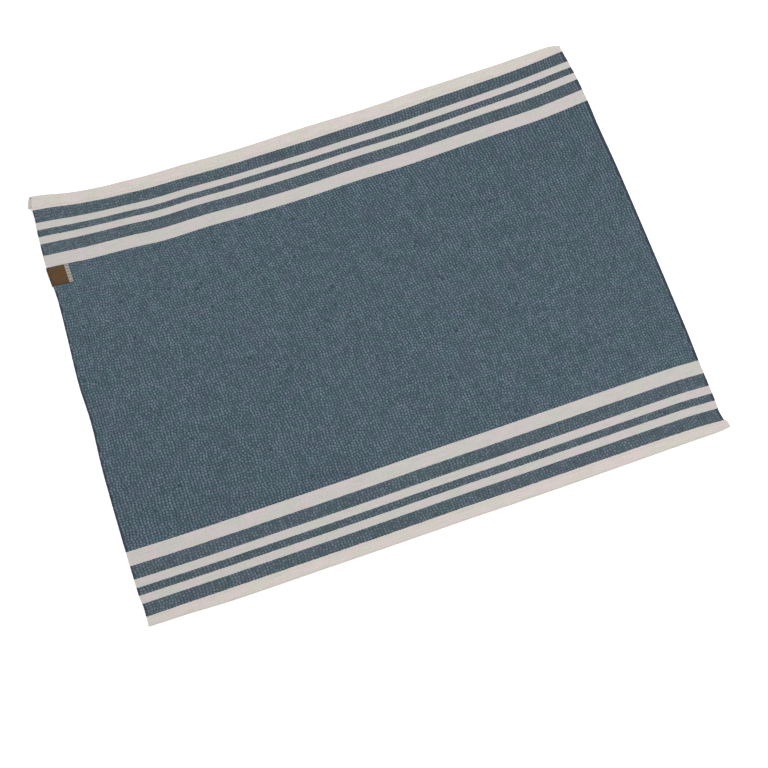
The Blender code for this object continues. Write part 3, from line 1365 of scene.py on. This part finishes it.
    @classmethod
    def sheet(
        cls,
        name: str,
        places: Array,
        weave: Array,
        thickness: float,
        finishes: Sequence[bpy.types.Material],
    ) -> bpy.types.Object:
        """Models a sheet: a grid whose points are laid out, with a thickness.

        Args:
            name: The piece's name.
            places: The points in metres, as column by row by axis.
            weave: Their places on the flat cloth in millimetres, as column by row by axis.
            thickness: The cloth's thickness, in millimetres.
            finishes: Its material, or one for the face and one for the back.

        Returns:
            The piece.
        """
        cls.clear()
        columns, rows = places.shape[0] - 1, places.shape[1] - 1
        bpy.ops.mesh.primitive_grid_add(x_subdivisions=columns, y_subdivisions=rows, size=1.0)
        piece = bpy.context.object
        piece.name = piece.data.name = name
        flat = np.empty(len(piece.data.vertices) * 3)
        piece.data.vertices.foreach_get("co", flat)
        flat = flat.reshape(-1, 3)
        column = np.rint((flat[:, 0] + 0.5) * columns).astype(int)
        row = np.rint((flat[:, 1] + 0.5) * rows).astype(int)
        piece.data.vertices.foreach_set("co", places[column, row].ravel())
        corner = np.empty(len(piece.data.loops), np.int32)
        piece.data.loops.foreach_get("vertex_index", corner)
        piece.data.uv_layers[0].name = WEAVE_MAP
        piece.data.uv_layers[0].data.foreach_set("uv", (weave[column, row][corner] * MM).ravel())
        wall = piece.modifiers.new("cloth thickness", "SOLIDIFY")
        wall.thickness = thickness * MM
        wall.offset = 0.0
        wall.use_even_offset = True
        wall.material_offset = len(finishes) - 1
        wall.material_offset_rim = 0
        for finish in finishes:
            piece.data.materials.append(finish)
        bpy.ops.object.modifier_apply(modifier=wall.name)
        bpy.ops.object.shade_smooth_by_angle(angle=cls.SMOOTH_UP_TO)
        return piece


@dataclass
class Section:
    """The cloth's section from one raw edge to the other, hems and all."""

    sizes: ClothSizes
    fold_steps: int = 9
    ramp_steps: int = 9
    stripe_steps: int = 14
    field_steps: int = 22
    top_steps: int = 9

    def _fold(
        self,
        y: float,
        z: float,
        radius: float,
        start: float,
    ) -> list[tuple[float, float]]:
        """Lays out a fold, as a half circle.

        Args:
            y: The y of its centre.
            z: The z of its centre.
            radius: Its radius.
            start: The angle at which the half circle starts.

        Returns:
            Its points in y and z.
        """
        turns = np.linspace(start, start + pi, self.fold_steps + 1)
        return [(y + radius * np.cos(turn), z + radius * np.sin(turn)) for turn in turns]

    def half(self) -> tuple[Array, Array]:
        """Lays out half of the section.

        Returns:
            The places in y and z, from the raw edge inside the hem to the middle line.
        """
        sizes = self.sizes
        pitch = sizes.layer_pitch
        middle_z = sizes.field_z + pitch
        rows = [(sizes.outer_fold_y + sizes.layer_gap, middle_z)]
        rows += self._fold(sizes.inner_fold_y, middle_z - pitch / 2, pitch / 2, start=pi / 2)
        rows += self._fold(sizes.outer_fold_y, middle_z, pitch, start=-pi / 2)
        hem_top = np.linspace(sizes.outer_fold_y, sizes.fold_line, self.top_steps + 1)[1:]
        rows += [(y, sizes.hem_top_z) for y in hem_top]
        ramp_end = sizes.fold_line - sizes.hem_ramp
        for y in np.linspace(sizes.fold_line, ramp_end, self.ramp_steps + 1)[1:]:
            climb = float(ease((y - ramp_end) / sizes.hem_ramp))
            rows.append((y, sizes.field_z + 2 * pitch * climb))
        stripes = np.linspace(ramp_end, sizes.field_edge, self.stripe_steps + 1)[1:]
        field = np.linspace(sizes.field_edge, 0.0, self.field_steps + 1)[1:]
        rows += [(y, sizes.field_z) for y in (*stripes, *field)]
        y, z = np.array(rows).T
        return y, z

    def whole(self) -> tuple[Array, Array, Array, Array]:
        """Lays out the whole section.

        Returns:
            Its y, its z, the place on the flat cloth, and how far under the top layer it lies.
        """
        y, z = self.half()
        first_top = 2 * (self.fold_steps + 1)
        is_top = np.arange(len(y)) >= first_top
        run = np.concatenate([[0.0], np.cumsum(np.hypot(np.diff(y), np.diff(z)))])
        place = np.where(is_top, y, y[first_top] + run[first_top] - run)
        under = ease((self.sizes.hem_top_z - z) / self.sizes.layer_pitch) * ~is_top
        back = slice(-2, None, -1)
        return (
            np.concatenate([-y, y[back]]),
            np.concatenate([z, z[back]]),
            np.concatenate([-place, place[back]]),
            np.concatenate([under, under[back]]),
        )


@dataclass
class MatCloth:
    """The mat's cloth with both of its hems, as one sheet."""

    lie: Lie
    columns: int = 300
    groove_depth: float = 0.22
    groove_width: float = 1.3
    flat_length: float = 0.480
    flat_width: float = 0.397

    def build(self) -> bpy.types.Object:
        """Models the cloth and dresses it.

        Returns:
            The piece.
        """
        sizes = self.lie.sizes
        y, z, place, under = Section(sizes).whole()
        u = np.linspace(-sizes.half_length, sizes.half_length, self.columns + 1)
        grid_u, grid_y = np.meshgrid(u, y, indexing="ij")
        grid_z = np.broadcast_to(z, grid_u.shape)
        x = self.lie.yarn_x(grid_u, grid_y)
        from_line = np.abs(np.abs(grid_y) - sizes.stitch_line)
        is_top = grid_z > sizes.hem_top_z - sizes.layer_pitch / 2
        groove = self.groove_depth * ease(1 - from_line / self.groove_width) * is_top
        points = self.lie.point(x, grid_y, grid_z - groove, np.broadcast_to(under, grid_u.shape))
        weave = np.stack([grid_u, np.broadcast_to(place, grid_u.shape)], axis=-1)
        face = CottonFinish("striped cotton", sizes).dress()
        back = CottonFinish("underside of the cotton", sizes, painted_floats=True).dress()
        return Bench.sheet("mat_cloth", points, weave, sizes.cloth, (face, back))


@dataclass(frozen=True)
class Drift:
    """A soft uneven drift of the weave, in which neighbouring yarns move together.

    Its waves run nearly the same way, within the spread of their heading.
    """

    size: float
    heading: float
    seed: int
    spread: float = 0.32
    shortest: float = 7.0
    longest: float = 15.0
    waves: int = 12

    def at(self, u: Array, y: Array) -> Array:
        """Works out the drift.

        Args:
            u: Places along the long side.
            y: Places along the short side.

        Returns:
            How far the yarns are off their even places.
        """
        draw = np.random.default_rng(self.seed)
        total = np.zeros(np.broadcast(u, y).shape)
        for _ in range(self.waves):
            turn = self.heading + draw.uniform(-self.spread, self.spread)
            start = draw.uniform(0.0, 2 * pi)
            length = draw.uniform(self.shortest, self.longest)
            total = total + np.sin(2 * pi * (u * np.cos(turn) + y * np.sin(turn)) / length + start)
        return self.size * total * (2 / self.waves) ** 0.5


@dataclass
class WarpFloats:
    """The pale warp yarns where they pass over the weft, all over the blue parts of the top."""

    lie: Lie
    width: float = 1.84
    gap: float = 0.32
    height: float = 0.17
    sunk: float = 0.12
    crown: float = 0.8
    side_margin: float = 2.4
    edge_margin: float = 0.12
    shortest: float = 0.6
    missing: float = 0.003
    unevenness: float = 0.14
    phase_walk: float = 0.05
    sideways: Drift = Drift(size=0.34, heading=pi / 2, seed=3)
    lengthways: Drift = Drift(size=0.40, heading=0.0, seed=5)
    seed: int = 7

    def _places(self) -> tuple[Array, Array, Array, Array]:
        """Draws the floats' places.

        Returns:
            Their yarn's even place, their own place across, their middle and their length.
        """
        sizes = self.lie.sizes
        draw = np.random.default_rng(self.seed)
        reach = sizes.half_length - self.side_margin
        columns = np.arange(-reach, reach, sizes.warp_pitch)
        phases = np.cumsum(draw.normal(0.0, self.phase_walk, len(columns)))
        field, *stripes = sizes.blue_bands()
        zones = [field, *stripes, *((-high, -low) for low, high in stripes)]
        found: list[Array] = []
        last_row = int(sizes.half_width / sizes.weft_pitch) + 1
        rows = np.arange(-last_row, last_row + 1)
        for u, phase in zip(columns, phases):
            dips = (rows + phase % 1.0) * sizes.weft_pitch
            dips = dips + self.lengthways.at(u, dips) + draw.normal(0.0, self.unevenness, len(rows))
            half_gaps = self.gap / 2 * draw.uniform(0.5, 1.5, len(rows))
            there = draw.random(len(rows) - 1) > self.missing
            for low, high in zones:
                start = np.maximum((dips + half_gaps)[:-1], low + self.edge_margin)
                end = np.minimum((dips - half_gaps)[1:], high - self.edge_margin)
                kept = (end - start > self.shortest) & there
                middle = (start[kept] + end[kept]) / 2
                across = u + self.sideways.at(u, middle)
                across = across + draw.normal(0.0, self.unevenness, len(middle))
                length = end[kept] - start[kept]
                found.append(np.stack([np.full_like(middle, u), across, middle, length]))
        yarn, across, middle, length = np.concatenate(found, axis=1)
        return yarn, across, middle, length

    def build(self) -> list[bpy.types.Object]:
        """Models the floats and dresses them.

        Returns:
            The two pieces, left and right of the middle.
        """
        shape = Bench.pillow(self.width, 1.0, self.height, self.sunk, self.crown)
        yarn, u, middle, length = self._places()
        finish = FloatFinish(self.lie.sizes).dress()
        pieces = []
        for name, chosen in (("warp_floats_left", u < 0), ("warp_floats_right", u >= 0)):
            y = middle[chosen, None] + shape.points[None, :, 1] * length[chosen, None]
            x = self.lie.yarn_x(u[chosen, None], y) + shape.points[None, :, 0]
            z = self.lie.top_z(y) + self.lie.sizes.cloth / 2 + shape.points[None, :, 2]
            places = np.stack([yarn[chosen], middle[chosen]], axis=-1)
            pieces.append(Bench.joined(name, shape, self.lie.point(x, y, z), places, finish))
        return pieces


@dataclass
class HemStitches:
    """The straight stitches that hold both hems, seen above and below."""

    lie: Lie
    stitch: float = 2.5
    pitch: float = 3.0
    radius: float = 0.2
    arch: float = 0.3
    sunk: float = 0.06
    below: float = 0.04
    side_margin: float = 1.6
    thread: Colour = srgb(191, 184, 177)

    def build(self) -> bpy.types.Object:
        """Models the stitches and dresses them.

        Returns:
            The piece.
        """
        sizes = self.lie.sizes
        shape = Bench.stitch(self.stitch, self.radius, self.arch)
        reach = sizes.half_length - self.side_margin - self.stitch / 2
        middles = np.arange(-reach, reach, self.pitch)
        top = sizes.hem_top_z + sizes.cloth / 2 - self.sunk
        groups = []
        rows = []
        for side in (-1.0, 1.0):
            places = np.stack([middles, np.full_like(middles, side * sizes.stitch_line)], axis=-1)
            for base, up in ((top, 1.0), (self.sunk + self.below, -1.0)):
                turned = shape.points * (1.0, up, up)
                groups.append(self.lie.seat(turned, places, base))
                rows.append(places)
        points, places = np.concatenate(groups), np.concatenate(rows)
        thread = ThreadFinish("cream sewing thread", self.thread).dress()
        return Bench.joined("hem_stitches", shape, points, places, thread)


@dataclass
class Selvedge:
    """The loops in which the weft turns back along both short edges."""

    lie: Lie
    across: float = 1.0
    along_edge: float = 1.12
    height: float = 1.08
    inset: float = 0.22
    unevenness: float = 0.07
    end_margin: float = 0.9
    seed: int = 11

    def build(self) -> bpy.types.Object:
        """Models the loops and dresses them.

        Returns:
            The piece.
        """
        sizes = self.lie.sizes
        draw = np.random.default_rng(self.seed)
        shape = Bench.bead(self.across, self.along_edge, self.height)
        reach = sizes.half_width - self.end_margin
        rows = np.arange(-reach, reach, sizes.weft_yarn)
        groups = []
        rims = []
        for side in (-1.0, 1.0):
            inset = self.inset + draw.normal(0.0, self.unevenness, len(rows))
            loops = np.stack([side * (sizes.half_length - inset), rows], axis=-1)
            groups.append(self.lie.seat(shape.points, loops, self.lie.top_z(rows)[:, None]))
            rims.append(np.stack([np.full_like(rows, side * sizes.half_length), rows], axis=-1))
        points, places = np.concatenate(groups), np.concatenate(rims)
        cotton = CottonFinish("selvedge cotton", sizes).dress()
        return Bench.joined("selvedge_loops", shape, points, places, cotton)


@dataclass
class LabelRibbon:
    """The woven label, folded over the mat's left edge and sewn down at its end."""

    lie: Lie
    leg_steps: int = 30
    turn_steps: int = 14
    rows: int = 26
    flat_width: float = 0.0159
    flat_length: float = 0.038

    def _section(self) -> tuple[Array, Array]:
        """Lays out the ribbon's section.

        Returns:
            Its x and z, from the upper sewn end round the edge to the lower one.
        """
        label, sizes = self.lie.label, self.lie.sizes
        low = label.cloth / 2
        high = label.lift + sizes.cloth + label.seat_gap + label.cloth / 2
        radius = (high - low) / 2
        inside = radius - label.cloth / 2
        edge_room = (inside**2 - (sizes.cloth / 2) ** 2) ** 0.5 - label.seat_gap
        turn_x = -sizes.half_length + edge_room
        end_x = -sizes.half_length + label.reach
        leg = np.linspace(end_x, turn_x, self.leg_steps + 1)[:-1]
        turn = np.linspace(pi / 2, 3 * pi / 2, self.turn_steps + 1)
        x = np.concatenate([leg, turn_x + radius * np.cos(turn), leg[::-1]])
        turn_z = (low + high) / 2 + radius * np.sin(turn)
        z = np.concatenate([np.full_like(leg, high), turn_z, np.full_like(leg, low)])
        return x, z

    def build(self) -> bpy.types.Object:
        """Models the ribbon and dresses it.

        Returns:
            The piece.
        """
        label = self.lie.label
        x, z = self._section()
        half = label.width / 2
        across = np.linspace(-half, half, self.rows + 1)
        grid_x, grid_v = np.meshgrid(x, across, indexing="ij")
        y = (self.lie.label_top + self.lie.label_bottom) / 2 + grid_v
        dx, dy = self.lie.stray(grid_x, y)
        shift_x, shift_y = self.lie.box_shift
        grid_z = np.broadcast_to(z[:, None], grid_x.shape)
        is_upper = grid_z > label.lift + self.lie.sizes.cloth
        grid_z = grid_z + self.lie.swell(grid_x, y) * is_upper
        points = np.stack([grid_x + dx + shift_x, y + dy + shift_y, grid_z], axis=-1) * MM
        weave = np.stack([grid_x + self.lie.sizes.half_length, grid_v], axis=-1)
        finishes = (RibbonFinish(label).dress(),)
        return Bench.sheet("label_ribbon", points, weave, label.cloth, finishes)


@dataclass
class LabelTack:
    """The grey stitches across the label's pale end, which sew it to the mat."""

    lie: Lie
    count: int = 6
    length_share: float = 0.8
    radius: float = 0.36
    arch: float = 0.22
    thread: Colour = srgb(112, 104, 102)

    def build(self) -> bpy.types.Object:
        """Models the stitches and dresses them.

        Returns:
            The piece.
        """
        label, sizes = self.lie.label, self.lie.sizes
        length = label.stitched_end * self.length_share
        shape = Bench.stitch(length, self.radius, self.arch)
        pitch = label.width / self.count
        rows = self.lie.label_bottom + pitch * (np.arange(self.count) + 0.5)
        middle = -sizes.half_length + label.reach - label.stitched_end / 2
        places = np.stack([np.full_like(rows, middle), rows], axis=-1)
        points = self.lie.seat(shape.points, places, sizes.cloth + label.seat_gap + label.cloth)
        thread = ThreadFinish("grey sewing thread", self.thread).dress()
        return Bench.joined("label_tack", shape, points, places, thread)


@dataclass
class Slubs:
    """The thick places of the weft yarn, which show as dark and pale flecks."""

    lie: Lie
    name: str
    flecks: Sequence[Fleck]
    tone: Colour
    length: float = 2.6
    across: float = 0.9
    height: float = 0.45

    def build(self) -> bpy.types.Object:
        """Models the thick places and dresses them.

        Returns:
            The piece.
        """
        shape = Bench.bead(self.length, self.across, self.height)
        places = np.array([(fleck.x, fleck.y) for fleck in self.flecks], float)
        points = self.lie.seat(shape.points, places, self.lie.sizes.cloth)
        yarn = ThreadFinish(self.name.replace("_", " "), self.tone).dress()
        return Bench.joined(self.name, shape, points, places, yarn)


@dataclass
class Studio:
    """The floor, the light and the camera of the portrait."""

    place: tuple[float, float, float] = (-72.5, -210.8, 722.8)
    aim: tuple[float, float, float] = (-9.1, -60.4, 0.0)
    roll: float = 3.83
    lens: float = 43.3
    floor_size: float = 8.0
    floor_drop: float = 0.2
    sky: float = 0.51
    lamp_place: tuple[float, float, float] = (250.0, 0.0, 1600.0)
    lamp_size: float = 1.6
    lamp_power: float = 25.0

    def build(self) -> bpy.types.Object:
        """Sets up the studio.

        Returns:
            The floor.
        """
        self._camera()
        self._light()
        Bench.clear()
        drop = (0.0, 0.0, -self.floor_drop * MM)
        bpy.ops.mesh.primitive_plane_add(size=self.floor_size, location=drop)
        floor = bpy.context.object
        floor.name = "floor"
        floor.data.materials.append(FloorFinish().dress())
        return floor

    def _camera(self) -> None:
        """Places the camera at the photograph's angle."""
        data = bpy.data.cameras.new("portrait camera")
        data.lens = self.lens
        data.clip_start = 0.01
        camera = bpy.data.objects.new("portrait camera", data)
        bpy.context.scene.collection.objects.link(camera)
        place = Vector(self.place) * MM
        look = Vector(self.aim) * MM - place
        camera.rotation_mode = "QUATERNION"
        camera.location = place
        turn = Quaternion((0.0, 0.0, 1.0), radians(self.roll))
        camera.rotation_quaternion = look.to_track_quat("-Z", "Y") @ turn
        bpy.context.scene.camera = camera

    def _light(self) -> None:
        """Lights the scene: an even sky and one broad soft lamp."""
        scene = bpy.context.scene
        scene.view_settings.view_transform = "Standard"
        world = bpy.data.worlds.new("soft sky")
        world.use_nodes = True
        backdrop = world.node_tree.nodes["Background"]
        backdrop.inputs["Color"].default_value = WHITE
        backdrop.inputs["Strength"].default_value = self.sky
        scene.world = world
        Bench.clear()
        bpy.ops.object.light_add(type="AREA", location=Vector(self.lamp_place) * MM)
        lamp = bpy.context.object
        lamp.name = "broad lamp"
        lamp.data.shape = "SQUARE"
        lamp.data.size = self.lamp_size
        lamp.data.energy = self.lamp_power
        lamp.rotation_mode = "QUATERNION"
        lamp.rotation_quaternion = (-lamp.location).to_track_quat("-Z", "Y")


def ride_all(pieces: Iterable[bpy.types.Object]) -> None:
    """Lets pieces ride on the mat's body, and logs how many faces each has.

    Args:
        pieces: The pieces.
    """
    for piece in pieces:
        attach(piece, BODY)
        LOG.info("%s: %d faces", piece.name, len(piece.data.polygons))


def main() -> None:
    """Loads the frame, dresses the placemat and sets up its portrait."""
    logging.basicConfig(level=logging.INFO, format="%(name)s: %(message)s")
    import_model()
    lie = Lie()

    floor = Studio().build()

    cloth = MatCloth(lie)
    mat = cloth.build()
    floats = WarpFloats(lie).build()
    stitches = HemStitches(lie).build()
    selvedge = Selvedge(lie).build()
    dark_slubs = Slubs(lie, "dark_slubs", DARK_FLECKS, srgb(38, 48, 58)).build()
    pale_slubs = Slubs(lie, "pale_slubs", PALE_FLECKS, srgb(104, 119, 126)).build()
    dressing = [*floats, stitches, selvedge, dark_slubs, pale_slubs]
    ride_all([mat, *dressing])
    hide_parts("mat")

    ribbon = LabelRibbon(lie)
    label = ribbon.build()
    tack = LabelTack(lie).build()
    ride_all([label, tack])
    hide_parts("label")


if __name__ == "__main__":
    main()
